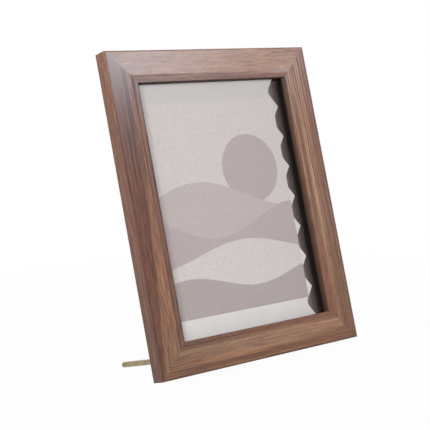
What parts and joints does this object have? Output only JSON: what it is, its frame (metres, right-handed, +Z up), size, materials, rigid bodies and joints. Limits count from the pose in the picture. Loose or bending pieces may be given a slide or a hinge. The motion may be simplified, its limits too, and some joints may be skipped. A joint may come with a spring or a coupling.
{
  "type": "easel back photo frame",
  "caption": "Small mitred walnut-look photo frame that leans back on brass pegs pushed into its rear, with glass, printed card and a backing board held by turn buttons.",
  "frame": {"origin": "under the middle of the standing frame, on the table it stands on", "axes": "+X to the right as seen from the front, +Y backwards, +Z up; the picture faces -Y and leans back"},
  "size_m": [0.19, 0.0741, 0.2347],
  "materials": {
    "walnut": "satin walnut-look wrap",
    "glass": "clear float glass",
    "card": "matt printed card",
    "dark_sheet": "matt dark paper",
    "fibreboard": "raw fibreboard",
    "zinc_steel": "zinc plated",
    "brass": "brushed brass"
  },
  "bodies": {
    "frame": {"top_rail": "walnut", "bottom_rail": "walnut", "left_rail": "walnut", "right_rail": "walnut", "glass_pane": "glass", "insert_card": "card", "mount_sheet": "dark_sheet", "backing_board": "fibreboard", "button_screws": "zinc_steel", "hanger_rivets": "zinc_steel", "mitre_v_nails": "zinc_steel", "top_hanger": "zinc_steel", "side_hanger": "zinc_steel", "left_peg_socket": "brass", "right_peg_socket": "brass"},
    "left_upper_button": {"left_upper_button": "zinc_steel"},
    "left_lower_button": {"left_lower_button": "zinc_steel"},
    "right_upper_button": {"right_upper_button": "zinc_steel"},
    "right_lower_button": {"right_lower_button": "zinc_steel"},
    "top_button": {"top_button": "zinc_steel"},
    "bottom_button": {"bottom_button": "zinc_steel"},
    "left_peg": {"left_peg": "brass"},
    "right_peg": {"right_peg": "brass"}
  },
  "joints": [
    {"name": "left_upper_button_turn", "type": "hinge", "parent": "frame", "child": "left_upper_button", "pos_m": [-0.0826, 0.02029, 0.16892], "axis": [0, 0.9659, -0.2588], "continuous": true},
    {"name": "left_lower_button_turn", "type": "hinge", "parent": "frame", "child": "left_lower_button", "pos_m": [-0.0826, -0.00818, 0.06267], "axis": [0, 0.9659, -0.2588], "continuous": true},
    {"name": "right_upper_button_turn", "type": "hinge", "parent": "frame", "child": "right_upper_button", "pos_m": [0.0826, 0.02029, 0.16892], "axis": [0, 0.9659, -0.2588], "continuous": true},
    {"name": "right_lower_button_turn", "type": "hinge", "parent": "frame", "child": "right_lower_button", "pos_m": [0.0826, -0.00818, 0.06267], "axis": [0, 0.9659, -0.2588], "continuous": true},
    {"name": "top_button_turn", "type": "hinge", "parent": "frame", "child": "top_button", "pos_m": [0, 0.0339, 0.21973], "axis": [0, 0.9659, -0.2588], "continuous": true},
    {"name": "bottom_button_turn", "type": "hinge", "parent": "frame", "child": "bottom_button", "pos_m": [0, -0.02179, 0.01187], "axis": [0, 0.9659, -0.2588], "continuous": true},
    {"name": "left_peg_pull", "type": "slide", "parent": "frame", "child": "left_peg", "axis": [0, 0.9659, -0.2588], "range_m": [0, 0.0085]},
    {"name": "right_peg_pull", "type": "slide", "parent": "frame", "child": "right_peg", "axis": [0, 0.9659, -0.2588], "range_m": [0, 0.0085]}
  ]
}
